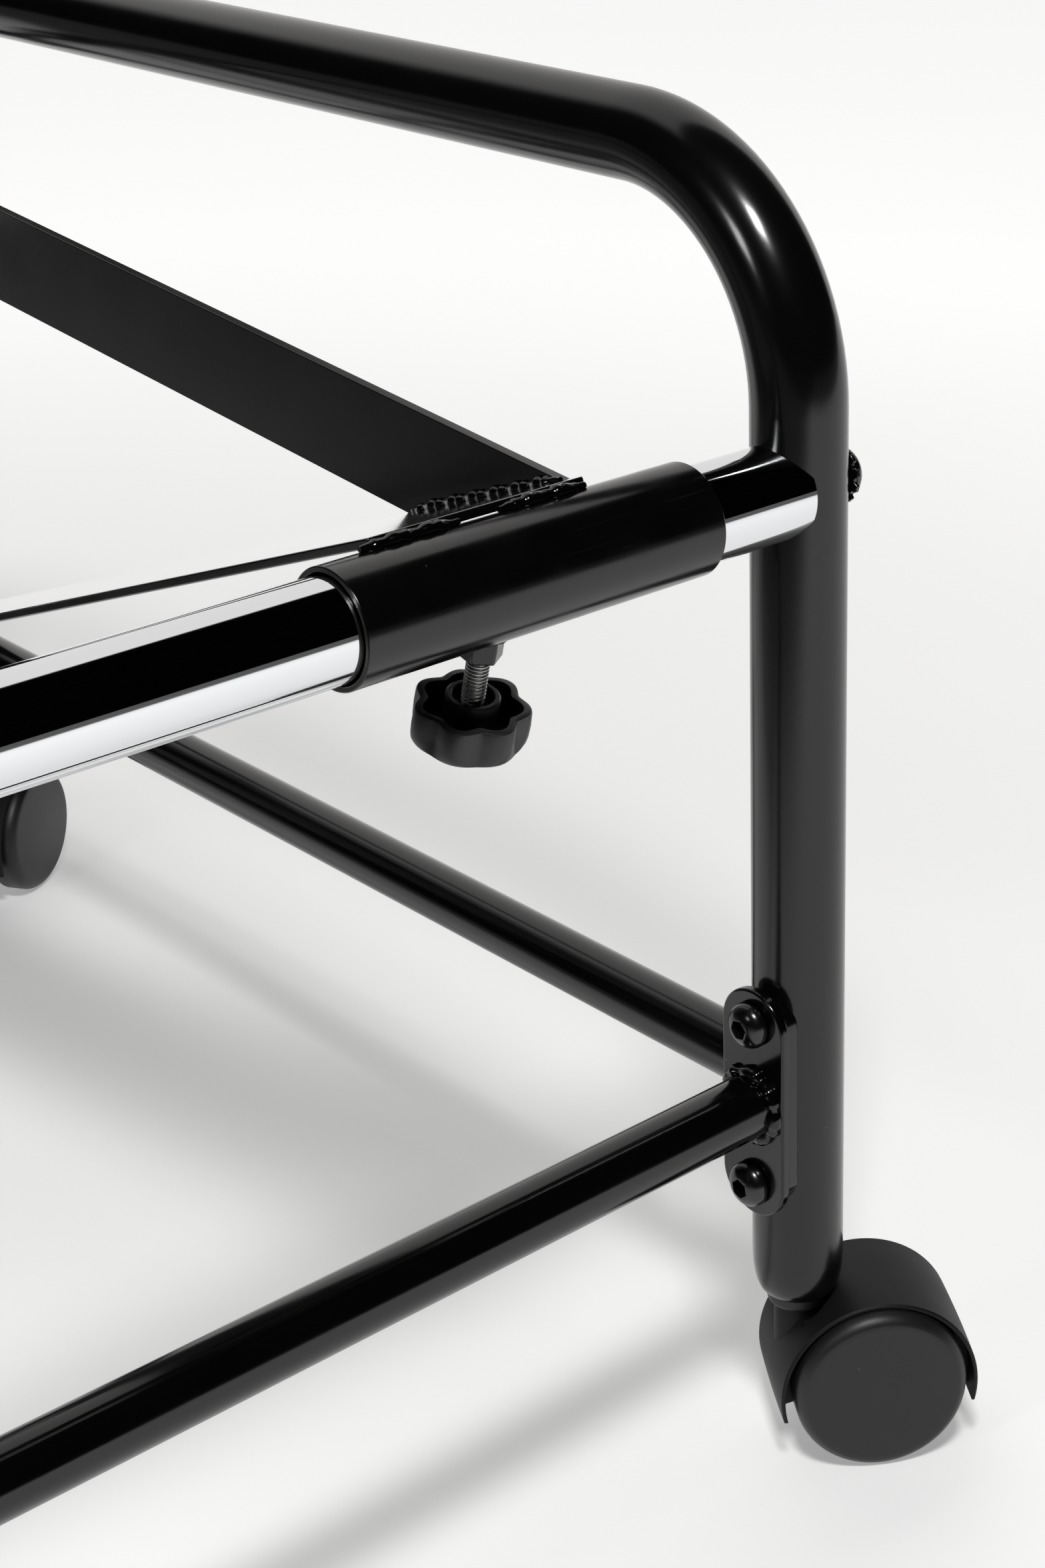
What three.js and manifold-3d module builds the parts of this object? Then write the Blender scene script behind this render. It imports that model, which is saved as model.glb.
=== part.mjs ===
// A low rolling stand: two side frames on twin-wheel casters, joined by two chromed rails and cross bars.
// Two carriages slide along the rails and carry the inclined trays that a case or bag rests on.
// Millimetres, +Z up. The origin is on the floor, at the centre of the footprint. X is the width and
// -Y the front.
import * as THREE from "three";
import { mergeVertices } from "three/addons/utils/BufferGeometryUtils.js";
import Module from "manifold-3d";

const wasm = await Module();
wasm.setup();

// ---- Driving dimensions ----
const GAP = 0.3; // between pieces that touch
const LAP = 0.05; // of one part of a piece over another
const WIDTH = 560; // between leg axes
const DEPTH = 480; // between leg axes
const WHEEL = { radius: 25.25, face: 22.5, inner: 9.5, edge: 1.5, hub: 8, trail: 20.8 };
const wheelTop = 2 * WHEEL.radius; // heights are counted from here
const HOOP = { radius: 13, wall: 1.5, top: wheelTop + 327.5, bend: 63, end: wheelTop + 11.5 };
const SWAGE = { tip: 9.4, wall: 1.5, end: wheelTop }; // the drawn-in foot of each leg
const CHROME = { radius: 13, wall: 1.5, height: wheelTop + 243.5 };
const LOW = { radius: 9, wall: 1.5, height: wheelTop + 66.5, bite: 1.5 }; // side rails and cross bars
const VENT = 3; // radius of the hole into each closed tube
const LEG_BORE = { inset: 0.6, half: 15 }; // clears the lower rail out of the inside of a leg
const PLATE = { width: 24, height: 70, thick: 3, pitch: 50 };
const SADDLE = { web: 1.2, depth: 4.5 };
const M6 = { radius: 3, hole: 3.4, head: 6.6, rise: 5, key: 2.5, length: 18 };
const M8 = { radius: 4, hole: 4.4, head: 7.1, rise: 4.6, key: 2.9, length: 46 };
const WASHER = { radius: 8.6, root: 7.4, thick: 1.2, teeth: 12 };
const INSERT = { length: 22, inset: 3 };

const PLUG = { flange: 8.9, barrel: 7.5, edge: 1.3, bottom: wheelTop - 4, top: wheelTop + 35.5 };
const STEM = { radius: 5, foot: wheelTop - 19.5, top: wheelTop + 33.5 };
const HOOD = {
  outer: WHEEL.radius + 4.05,
  wall: 1.3,
  half: 17.5,
  drop: 2.3, // its centre sits this far below the axle
  core: 9,
  neck: 6.85,
  low: -13, // degrees round the axle, to high
  high: 194,
  sink: 4,
  clear: 1,
  room: 10,
};
const AXLE = { radius: 3, half: 17.5 };
const CASTER_TURN = 33; // degrees that each caster trails outwards

const SLEEVE = { clear: 0.5, wall: 1.5, length: 110 };
SLEEVE.bore = CHROME.radius + SLEEVE.clear;
SLEEVE.outer = SLEEVE.bore + SLEEVE.wall;
const CARRIAGE = { centre: 185 }; // middle of a sleeve, from the middle of the stand
const TRAY = { slope: 20.7, width: 65.5, thick: 2.5, start: -1, inset: 20, offset: -6.75 };
const GUARD = { slope: 5.3, height: 30, thick: 3, rise: SLEEVE.outer - 1.4, tip: 10, post: 30, bite: 1.3 };

// Along the clamp screw, counted from the rail's axis.
const NUT = { flats: 10, near: CHROME.radius + 0.7, far: CHROME.radius + 8.5 };
const STUD = { tip: CHROME.radius + 0.6, end: CHROME.radius + 30 };
const KNOB = {
  lean: 15,
  offset: -8,
  lobes: 7,
  tip: 15,
  groove: 13.6,
  wall: 2.2,
  rim: CHROME.radius + 22.5,
  base: CHROME.radius + 33,
  boss: 6.9,
  bossTop: CHROME.radius + 20,
  recess: 5.2,
  recessDepth: 2.5,
};

// ---- Materials ----
const paint = (color, roughness, metalness) =>
  new THREE.MeshStandardMaterial({ color, roughness, metalness });
const blackCoat = paint(0x1c1b1b, 0.35, 0.2);
const chrome = paint(0xdfe2e6, 0.05, 1);
const zinc = paint(0xc9ccd0, 0.3, 0.9);
const blackSteel = paint(0x17171a, 0.3, 0.6);
const nylon = paint(0x333134, 0.6, 0);

// ---- Solids ----
function toSolid(geometry) {
  const bare = geometry.index ? geometry.toNonIndexed() : geometry.clone();
  bare.deleteAttribute("normal");
  bare.deleteAttribute("uv");
  const merged = mergeVertices(bare, 1e-3);
  const vertProperties = merged.attributes.position.array;
  const triVerts = new Uint32Array(merged.index.array);
  return new wasm.Manifold(new wasm.Mesh({ numProp: 3, vertProperties, triVerts }));
}

function toGeometry(solid) {
  const mesh = solid.getMesh();
  const positions = new THREE.BufferAttribute(new Float32Array(mesh.vertProperties), 3);
  const geometry = new THREE.BufferGeometry().setAttribute("position", positions);
  geometry.setIndex(new THREE.BufferAttribute(new Uint32Array(mesh.triVerts), 1));
  geometry.computeVertexNormals();
  return geometry;
}

const join = (...parts) => toGeometry(parts.map(toSolid).reduce((sum, part) => sum.add(part)));

const cut = (body, ...tools) =>
  toGeometry(tools.map(toSolid).reduce((rest, tool) => rest.subtract(tool), toSolid(body)));

// Turns a shape that is made along Z so that it runs along X or Y instead.
function along(axis, geometry) {
  if (axis === "x") return geometry.rotateX(Math.PI / 2).rotateZ(Math.PI / 2);
  if (axis === "y") return geometry.rotateX(-Math.PI / 2);
  return geometry;
}

function prism(shape, length, curveSegments = 8) {
  return new THREE.ExtrudeGeometry(shape, { depth: length, steps: 1, bevelEnabled: false, curveSegments });
}

function disc(radius, hole = 0) {
  const shape = new THREE.Shape().absarc(0, 0, radius, 0, 2 * Math.PI);
  if (hole) shape.holes.push(new THREE.Path().absarc(0, 0, hole, 0, 2 * Math.PI));
  return shape;
}

// A rod or tube from one place to another along an axis, centred on the origin's line.
const rod = (axis, radius, from, to, segments = 8) =>
  along(axis, prism(disc(radius), to - from, segments).translate(0, 0, from));

const pipe = (axis, radius, wall, from, to, segments = 12) =>
  along(axis, prism(disc(radius, radius - wall), to - from, segments).translate(0, 0, from));

const lathe = (points, segments) =>
  new THREE.LatheGeometry(points.map(([r, z]) => new THREE.Vector2(r, z)), segments).rotateX(Math.PI / 2);

const hexagon = (flats) =>
  new THREE.Shape(
    Array.from({ length: 6 }, (_, i) => {
      const angle = (i * Math.PI) / 3;
      const corner = flats / Math.sqrt(3);
      return new THREE.Vector2(corner * Math.cos(angle), corner * Math.sin(angle));
    }),
  );

// ---- The stand and its groups ----
const stand = new THREE.Group();

function add(parent, name, geometry, material) {
  const mesh = new THREE.Mesh(geometry, material);
  mesh.name = name;
  parent.add(mesh);
  return mesh;
}

const legX = WIDTH / 2;
const legY = DEPTH / 2;
const sides = [
  { name: "right", sign: 1 },
  { name: "left", sign: -1 },
];
const ends = [
  { name: "front", sign: -1 },
  { name: "rear", sign: 1 },
];

// ---- Side frames ----
// A curve that an extrusion follows through chosen stations: its ends, and the steps of each bend.
class StationCurve extends THREE.Curve {
  constructor(stations) {
    super();
    this.stations = stations;
  }
  at(u) {
    return this.stations[Math.round(u * (this.stations.length - 1))];
  }
  getPointAt(u) {
    return this.at(u).point.clone();
  }
  getTangentAt(u) {
    return this.at(u).tangent.clone();
  }
}

function hoopStations(steps = 5) {
  const bendY = legY - HOOP.bend;
  const bendZ = HOOP.top - HOOP.bend;
  const station = (y, z, ty, tz) => ({
    point: new THREE.Vector3(0, y, z),
    tangent: new THREE.Vector3(0, ty, tz),
  });
  const stations = [station(-legY, HOOP.end, 0, 1)];
  for (const side of [-1, 1]) {
    for (let i = 0; i <= steps; i++) {
      const turn = (Math.PI / 2) * (side < 0 ? i / steps : 1 - i / steps);
      const y = side * (bendY + HOOP.bend * Math.cos(turn));
      const z = bendZ + HOOP.bend * Math.sin(turn);
      stations.push(station(y, z, Math.sin(turn), -side * Math.cos(turn)));
    }
  }
  stations.push(station(legY, HOOP.end, 0, -1));
  return stations;
}

function hoop() {
  const path = new StationCurve(hoopStations());
  const section = disc(HOOP.radius, HOOP.radius - HOOP.wall);
  return new THREE.ExtrudeGeometry(section, {
    extrudePath: path,
    steps: path.stations.length - 1,
    bevelEnabled: false,
    curveSegments: 8,
  });
}

// The drawn-in foot of a leg as a quarter ellipse, from its full radius down to its tip.
function footCurve(radius, tip, steps = 3) {
  return Array.from({ length: steps + 1 }, (_, i) => {
    const turn = ((i / steps) * Math.PI) / 2;
    return [tip + (radius - tip) * Math.cos(turn), HOOP.end - (HOOP.end - SWAGE.end) * Math.sin(turn)];
  });
}

// A hair thicker than the tube on both sides, so that it takes the tube's end inside it.
function swage() {
  const outer = footCurve(HOOP.radius + LAP, SWAGE.tip);
  const inner = footCurve(HOOP.radius - HOOP.wall - LAP, SWAGE.tip - SWAGE.wall);
  const neck = [HOOP.radius - HOOP.wall - LAP, HOOP.end + 1];
  const lip = [HOOP.radius + LAP, HOOP.end + 1];
  return lathe([neck, ...inner, ...outer.reverse(), lip, neck], 16);
}

// The screws of a cross bar pass only the inner wall of a leg, and a rail's bolt passes both.
function sideFrame(side) {
  const reach = legY - LOW.radius + LOW.bite;
  const rail = pipe("y", LOW.radius, LOW.wall, -reach, reach, 8).translate(0, 0, LOW.height);
  const bore = HOOP.radius - HOOP.wall - LEG_BORE.inset;
  const [below, above] = [LOW.height - LEG_BORE.half, LOW.height + LEG_BORE.half];
  const legBores = ends.map((end) => rod("z", bore, below, above, 8).translate(0, end.sign * legY, 0));
  const feet = ends.map((end) => swage().translate(0, end.sign * legY, 0));
  const vent = rod("y", VENT, -legY, legY, 6).translate(0, 0, LOW.height);
  const through = HOOP.radius + 5;
  const boltHoles = ends.map((end) =>
    rod("x", M8.hole, -through, through, 6).translate(0, end.sign * legY, CHROME.height),
  );
  const [from, to] = side.sign > 0 ? [-through, -5] : [5, through];
  const screwHole = (y, z) => rod("x", M6.hole, from, to, 5).translate(0, y, z);
  const plateHoles = ends.flatMap((end) =>
    [-0.5, 0.5].map((k) => screwHole(end.sign * legY, LOW.height + k * PLATE.pitch)),
  );
  const body = join(hoop(), ...feet, rail);
  return cut(body, ...legBores, vent, ...boltHoles, ...plateHoles);
}

for (const side of sides) {
  const frame = add(stand, side.name + "_side_frame", sideFrame(side), blackCoat);
  frame.position.x = side.sign * legX;
}

// ---- Fasteners, made along -X with the underside of the head at the origin ----
function buttonScrew(size, extra = []) {
  const { radius, head, rise, key, length } = size;
  const dome = Array.from({ length: 3 }, (_, i) => {
    const turn = (i / 2) * 1.1;
    return [head * Math.cos(turn), rise * 0.25 + (rise * 0.75 * Math.sin(turn)) / Math.sin(1.1)];
  });
  const profile = [[0, -length], [radius, -length], [radius, 0], [head, 0], ...dome, [0, rise]];
  const socket = prism(hexagon(key * 2), rise, 1).translate(0, 0, rise * 0.4);
  const body = join(lathe(profile, 12), ...extra);
  return along("x", cut(body, socket));
}

function toothedWasher() {
  const points = Array.from({ length: WASHER.teeth * 2 }, (_, i) => {
    const angle = (i * Math.PI) / WASHER.teeth;
    const radius = i % 2 ? WASHER.root : WASHER.radius;
    return new THREE.Vector2(radius * Math.cos(angle), radius * Math.sin(angle));
  });
  return prism(new THREE.Shape(points), WASHER.thick + 0.1, 1).translate(0, 0, -WASHER.thick);
}

// ---- Chromed rails, with a threaded insert and a bolt at each end ----
function chromeRail() {
  const tube = pipe("x", CHROME.radius, CHROME.wall, -legX, legX, 12);
  const reach = 2 * CHROME.radius;
  const cope = (x) => rod("z", HOOP.radius + GAP, -reach, reach, 10).translate(x, 0, 0);
  const copes = sides.map((side) => cope(side.sign * legX));
  return cut(tube, ...copes);
}

function railInsert() {
  const start = HOOP.radius + INSERT.inset;
  const body = disc(CHROME.radius - CHROME.wall - GAP, M8.hole);
  return along("x", prism(body, INSERT.length, 8).translate(0, 0, -start - INSERT.length));
}

for (const end of ends) {
  const row = new THREE.Group();
  row.position.set(0, end.sign * legY, CHROME.height);
  stand.add(row);
  add(row, end.name + "_chrome_rail", chromeRail(), chrome);
  for (const side of sides) {
    const mirror = new THREE.Group();
    mirror.rotation.z = side.sign > 0 ? 0 : Math.PI;
    row.add(mirror);
    const insert = add(mirror, `${end.name}_${side.name}_rail_insert`, railInsert(), zinc);
    insert.position.x = legX;
    const shape = buttonScrew(M8, [toothedWasher()]);
    const bolt = add(mirror, `${end.name}_${side.name}_rail_bolt`, shape, blackSteel);
    bolt.position.x = legX + HOOP.radius + GAP + WASHER.thick;
  }
}

// ---- Cross bars: a tube welded between two end plates, each screwed to a leg over a plastic saddle ----
const saddleFace = HOOP.radius + GAP + SADDLE.web;
const plateBack = saddleFace + GAP;

function plateOutline(holes) {
  const half = PLATE.width / 2;
  const centre = PLATE.height / 2 - half;
  const shape = new THREE.Shape();
  shape.absarc(0, centre, half, 0, Math.PI).absarc(0, -centre, half, Math.PI, 2 * Math.PI);
  shape.closePath();
  for (const [height, radius] of holes) {
    shape.holes.push(new THREE.Path().absarc(0, height, radius, 0, 2 * Math.PI));
  }
  return shape;
}

const screwHoles = [-0.5, 0.5].map((k) => [k * PLATE.pitch, M6.hole]);

// The outline lies in the YZ plane, from one X to another.
const plateSolid = (holes, from, to) =>
  prism(plateOutline(holes), to - from, 4).rotateX(Math.PI / 2).rotateZ(Math.PI / 2).translate(from, 0, 0);

function crossBar() {
  const face = legX - plateBack - PLATE.thick;
  const tube = pipe("x", LOW.radius, LOW.wall, -face - 0.5, face + 0.5, 8);
  const holes = [...screwHoles, [0, VENT]];
  const plates = [face, -face - PLATE.thick].map((from) => plateSolid(holes, from, from + PLATE.thick));
  return join(tube, ...plates);
}

function saddle() {
  const block = plateSolid(screwHoles, -saddleFace, -saddleFace + SADDLE.depth);
  return cut(block, rod("z", HOOP.radius + GAP, -PLATE.height, PLATE.height, 10));
}

for (const end of ends) {
  const row = new THREE.Group();
  row.position.set(0, end.sign * legY, LOW.height);
  stand.add(row);
  add(row, end.name + "_cross_bar", crossBar(), blackCoat);
  for (const side of sides) {
    const mirror = new THREE.Group();
    mirror.rotation.z = side.sign > 0 ? 0 : Math.PI;
    row.add(mirror);
    add(mirror, `${end.name}_${side.name}_saddle`, saddle(), nylon).position.x = legX;
    for (const [name, k] of [["upper", 0.5], ["lower", -0.5]]) {
      const screw = add(mirror, `${end.name}_${side.name}_${name}_screw`, buttonScrew(M6), blackSteel);
      screw.rotation.z = Math.PI;
      screw.position.set(legX - plateBack - PLATE.thick - GAP, 0, k * PLATE.pitch);
    }
  }
}

// ---- Casters: the local origin is on the floor under the stem, and the wheels trail towards +X ----
function legPlug() {
  const bore = STEM.radius + GAP;
  const seat = SWAGE.end - GAP;
  const profile = [
    [bore, PLUG.bottom],
    [PLUG.flange - PLUG.edge, PLUG.bottom],
    [PLUG.flange, PLUG.bottom + PLUG.edge],
    [PLUG.flange, seat],
    [PLUG.barrel, seat],
    [PLUG.barrel, PLUG.top],
    [bore, PLUG.top],
    [bore, PLUG.bottom],
  ];
  return lathe(profile, 14);
}

// A sector about the axle, in the plane of the wheel, spread by a half width to each side.
function sector(outer, inner, half, trim = 0) {
  const low = THREE.MathUtils.degToRad(HOOD.low + trim);
  const high = THREE.MathUtils.degToRad(HOOD.high - trim);
  const shape = new THREE.Shape().absarc(0, 0, outer, low, high);
  if (inner) shape.absarc(0, 0, inner, high, low, true);
  else shape.lineTo(0, 0);
  shape.closePath();
  const slab = prism(shape, 2 * half, 10).translate(0, 0, -half).rotateX(Math.PI / 2);
  return onAxle(slab).translate(0, 0, -HOOD.drop);
}

const onAxle = (geometry) => geometry.translate(WHEEL.trail, 0, WHEEL.radius);

function hood() {
  const shell = sector(HOOD.outer, HOOD.outer - HOOD.wall, HOOD.half);
  const core = sector(HOOD.outer - HOOD.wall / 2, 0, HOOD.core, 2);
  const hub = onAxle(rod("y", WHEEL.hub, -HOOD.core, HOOD.core, 8));
  const axleBore = onAxle(rod("y", AXLE.radius + GAP, -HOOD.core - 5, HOOD.core + 5, 6));
  const floor = PLUG.bottom - HOOD.sink;
  const room = footCurve(HOOP.radius + HOOD.clear, SWAGE.tip + HOOD.clear);
  const roomTop = HOOP.end + HOOD.room;
  const bottom = [[0, floor], [SWAGE.tip + HOOD.clear, floor]];
  const top = [[HOOP.radius + HOOD.clear, roomTop], [0, roomTop]];
  const scoop = lathe([...bottom, ...room.reverse(), ...top], 14);
  const neck = rod("z", HOOD.neck, WHEEL.radius, PLUG.bottom - GAP, 8);
  const stemBore = rod("z", STEM.radius + GAP, STEM.foot - GAP, STEM.top, 8);
  return cut(join(cut(join(shell, core, hub), scoop), neck), stemBore, axleBore);
}

// A wheel turns on the axle with its domed face outwards, along +Y.
function wheel() {
  const bore = AXLE.radius + GAP;
  const { radius, face, inner, edge } = WHEEL;
  const profile = [
    [bore, inner],
    [radius - edge, inner],
    [radius, inner + edge],
    [radius, face - 5],
    [radius - 1, face - 2.2],
    [radius - 3.2, face - 0.75],
    [radius / 2, face - 0.1],
    [0, face],
    [0, AXLE.half + GAP],
    [bore, AXLE.half + GAP],
    [bore, inner],
  ];
  return lathe(profile, 22).rotateX(-Math.PI / 2);
}

for (const end of ends) {
  for (const side of sides) {
    const tag = `${end.name}_${side.name}`;
    const corner = new THREE.Group();
    corner.position.set(side.sign * legX, end.sign * legY, 0);
    const outwards = side.sign > 0 ? 0 : Math.PI;
    corner.rotation.z = outwards + THREE.MathUtils.degToRad(CASTER_TURN) * end.sign * side.sign;
    stand.add(corner);
    add(corner, tag + "_leg_plug", legPlug(), nylon);
    add(corner, tag + "_caster_stem", rod("z", STEM.radius, STEM.foot, STEM.top, 8), zinc);
    add(corner, tag + "_caster_hood", hood(), nylon);
    add(corner, tag + "_caster_axle", onAxle(rod("y", AXLE.radius, -AXLE.half, AXLE.half, 6)), zinc);
    for (const [name, turn] of [["a", 0], ["b", Math.PI]]) {
      const mesh = add(corner, `${tag}_wheel_${name}`, wheel(), nylon);
      mesh.position.set(WHEEL.trail, 0, WHEEL.radius);
      mesh.rotation.z = turn;
    }
  }
}

// ---- Carriages: the local origin is on the front rail's axis, at the middle of the sleeve ----
const slope = THREE.MathUtils.degToRad(TRAY.slope);
const pitch = THREE.MathUtils.degToRad(GUARD.slope);
const trayUnder = SLEEVE.outer + GAP; // from the rail's axis square to the tray's underside

// Heights above the rail's axis at a distance y behind it.
const trayLine = (y) => trayUnder / Math.cos(slope) - y * Math.tan(slope);
const guardTop = (y) => GUARD.rise + (y - SLEEVE.outer) * Math.tan(pitch);
const guardUnder = (y) => guardTop(y) - GUARD.height / Math.cos(pitch);

function frontSleeve(sign) {
  const half = SLEEVE.length / 2;
  const tube = pipe("x", SLEEVE.outer, SLEEVE.outer - SLEEVE.bore, -half, half, 12);
  const nut = clampAxis(prism(hexagon(NUT.flats), NUT.far - NUT.near, 1).translate(0, 0, NUT.near), sign);
  const thread = clampAxis(prism(disc(M6.hole), NUT.far, 6).translate(0, 0, SLEEVE.bore - 3), sign);
  return cut(join(tube, nut), thread);
}

// Takes a shape made along +Z from the rail's axis to the line of the clamp screw, which leans back.
const clampAxis = (geometry, sign) =>
  geometry.rotateX(Math.PI + THREE.MathUtils.degToRad(KNOB.lean)).translate(sign * KNOB.offset, 0, 0);

function trayPlate(sign) {
  const back = DEPTH - TRAY.inset;
  const length = (back - trayUnder * Math.sin(slope)) / Math.cos(slope) - TRAY.start;
  const sheet = new THREE.BoxGeometry(TRAY.width, length, TRAY.thick);
  sheet.translate(sign * TRAY.offset, TRAY.start + length / 2, trayUnder + TRAY.thick / 2);
  return sheet.rotateX(-slope);
}

// The upright side strip: a bar on edge, a post at its rear end and the sleeve on the rear rail.
function sideGuard(sign) {
  const back = DEPTH - SLEEVE.outer + GUARD.bite;
  const inner = back - GUARD.post;
  const meet = (trayLine(0) - guardUnder(0)) / (Math.tan(pitch) + Math.tan(slope));
  const corners = [
    [GUARD.tip, trayLine(GUARD.tip)],
    [meet, guardUnder(meet)],
    [inner, guardUnder(inner)],
    [inner, trayLine(inner)],
    [back, trayLine(back)],
    [back, guardTop(back)],
    [GUARD.tip, guardTop(GUARD.tip)],
  ];
  const outline = new THREE.Shape(corners.map(([y, z]) => new THREE.Vector2(y, z)));
  const inside = TRAY.offset + TRAY.width / 2 + GAP;
  const near = sign > 0 ? inside : -inside - GUARD.thick;
  const strip = along("x", prism(outline, GUARD.thick, 1).translate(0, 0, near));
  const half = SLEEVE.length / 2;
  const tube = pipe("x", SLEEVE.outer, SLEEVE.outer - SLEEVE.bore, -half, half, 12);
  return join(strip, tube.translate(0, DEPTH, 0));
}

const clampStud = (sign) =>
  clampAxis(prism(disc(M6.radius), STUD.end - STUD.tip, 6).translate(0, 0, STUD.tip), sign);

// A star of round lobes, the outline of the knob and of its hollow.
function star(tip, groove) {
  const points = Array.from({ length: KNOB.lobes * 8 }, (_, i) => {
    const angle = (i * Math.PI) / (KNOB.lobes * 4);
    const radius = (tip + groove) / 2 + ((tip - groove) / 2) * Math.cos(KNOB.lobes * angle);
    return new THREE.Vector2(radius * Math.cos(angle), radius * Math.sin(angle));
  });
  return new THREE.Shape(points);
}

function clampKnob(sign) {
  const body = prism(star(KNOB.tip, KNOB.groove), KNOB.base - KNOB.rim, 1).translate(0, 0, KNOB.rim);
  const depth = KNOB.base - KNOB.rim - KNOB.wall;
  const hollow = star(KNOB.tip - KNOB.wall, KNOB.groove - KNOB.wall);
  const cup = prism(hollow, depth + 1, 1).translate(0, 0, KNOB.rim - 1);
  const bossLength = KNOB.base - KNOB.wall / 2 - KNOB.bossTop;
  const boss = prism(disc(KNOB.boss), bossLength, 8).translate(0, 0, KNOB.bossTop);
  const recess = prism(disc(KNOB.recess), KNOB.recessDepth, 8).translate(0, 0, KNOB.bossTop);
  const socketDepth = STUD.end + GAP - KNOB.bossTop;
  const socket = prism(disc(M6.radius + GAP), socketDepth, 6).translate(0, 0, KNOB.bossTop);
  return clampAxis(cut(join(cut(body, cup), boss), recess, socket), sign);
}

for (const side of sides) {
  const carriage = new THREE.Group();
  carriage.position.set(side.sign * CARRIAGE.centre, -legY, CHROME.height);
  stand.add(carriage);
  add(carriage, side.name + "_front_sleeve", frontSleeve(side.sign), blackCoat);
  add(carriage, side.name + "_tray_plate", trayPlate(side.sign), blackCoat);
  add(carriage, side.name + "_side_guard", sideGuard(side.sign), blackCoat);
  add(carriage, side.name + "_clamp_stud", clampStud(side.sign), zinc);
  add(carriage, side.name + "_clamp_knob", clampKnob(side.sign), nylon);
}

export default stand;
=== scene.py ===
import bpy
import bmesh
import math
import random
from mathutils import Matrix, Vector


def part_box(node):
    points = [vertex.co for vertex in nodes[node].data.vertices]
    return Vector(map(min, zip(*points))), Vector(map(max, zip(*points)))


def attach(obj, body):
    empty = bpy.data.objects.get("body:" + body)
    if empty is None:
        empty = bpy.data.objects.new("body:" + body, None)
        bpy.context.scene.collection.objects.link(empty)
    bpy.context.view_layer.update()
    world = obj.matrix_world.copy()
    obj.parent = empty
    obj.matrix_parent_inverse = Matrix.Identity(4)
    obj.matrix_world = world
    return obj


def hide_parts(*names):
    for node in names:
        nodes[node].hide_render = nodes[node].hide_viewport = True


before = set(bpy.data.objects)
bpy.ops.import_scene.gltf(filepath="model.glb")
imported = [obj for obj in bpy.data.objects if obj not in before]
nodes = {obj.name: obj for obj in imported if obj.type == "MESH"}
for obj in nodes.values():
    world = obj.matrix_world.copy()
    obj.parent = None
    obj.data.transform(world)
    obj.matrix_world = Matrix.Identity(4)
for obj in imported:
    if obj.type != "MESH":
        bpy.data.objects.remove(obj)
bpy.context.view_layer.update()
mm = 0.001


# ---- where things are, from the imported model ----
def middle(node):
    low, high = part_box(node)
    return (Vector(low) + Vector(high)) / 2


legRadius = 13 * mm
sideLow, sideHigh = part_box("right_side_frame")
legX = middle("right_side_frame").x
legY = (sideHigh[1] - sideLow[1]) / 2 - legRadius
hoopTop = sideHigh[2] - legRadius
railHeight = middle("front_chrome_rail").z
barHeight = middle("front_cross_bar").z
sleeveX = middle("right_front_sleeve").x
sides = {"right": 1, "left": -1}
ends = {"front": -1, "rear": 1}
corners = {end + "_" + side: (sides[side], ends[end]) for end in ends for side in sides}


# ---- small modelling helpers ----
def selectOnly(piece):
    bpy.ops.object.select_all(action="DESELECT")
    piece.select_set(True)
    bpy.context.view_layer.objects.active = piece


def openEdit(piece):
    selectOnly(piece)
    bpy.ops.object.mode_set(mode="EDIT")
    bpy.ops.mesh.select_mode(type="VERT")
    bpy.ops.mesh.select_all(action="SELECT")


def closeEdit(smoothAngle=35):
    bpy.ops.object.mode_set(mode="OBJECT")
    bpy.ops.object.shade_smooth_by_angle(angle=math.radians(smoothAngle))
    return bpy.context.active_object


def tidyNormals():
    bpy.ops.mesh.select_all(action="SELECT")
    bpy.ops.mesh.remove_doubles(threshold=0.00001)
    bpy.ops.mesh.normals_make_consistent(inside=False)


def pickVerts(piece, test):
    mesh = bmesh.from_edit_mesh(piece.data)
    for vertex in mesh.verts:
        vertex.select = bool(test(vertex.co))
    mesh.select_flush_mode()
    bmesh.update_edit_mesh(piece.data)


def applyModifier(piece, kind, **settings):
    selectOnly(piece)
    modifier = piece.modifiers.new(kind.title(), kind)
    for key, value in settings.items():
        setattr(modifier, key, value)
    bpy.ops.object.modifier_apply(modifier=modifier.name)


def softenEdges(piece, width, angle=40, segments=3):
    applyModifier(piece, "BEVEL", width=width, segments=segments, limit_method="ANGLE",
                  angle_limit=math.radians(angle), harden_normals=False)


def smooth(piece, angle):
    selectOnly(piece)
    bpy.ops.object.shade_smooth_by_angle(angle=math.radians(angle))


def carve(piece, tool):
    applyModifier(piece, "BOOLEAN", operation="DIFFERENCE", solver="EXACT", object=tool)
    bpy.data.objects.remove(tool)


def joinPieces(name, pieces):
    selectOnly(pieces[0])
    for piece in pieces[1:]:
        piece.select_set(True)
    if len(pieces) > 1:
        bpy.ops.object.join()
    joined = bpy.context.active_object
    joined.name = name
    return joined


def copyPiece(piece, name, matrix):
    made = piece.copy()
    made.data = piece.data.copy()
    made.name = name
    bpy.context.scene.collection.objects.link(made)
    made.data.transform(matrix)
    if matrix.determinant() < 0:
        made.data.flip_normals()
    return made


def move(x=0, y=0, z=0):
    return Matrix.Translation((x, y, z))


def turn(degrees, axis):
    return Matrix.Rotation(math.radians(degrees), 4, axis)


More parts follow.
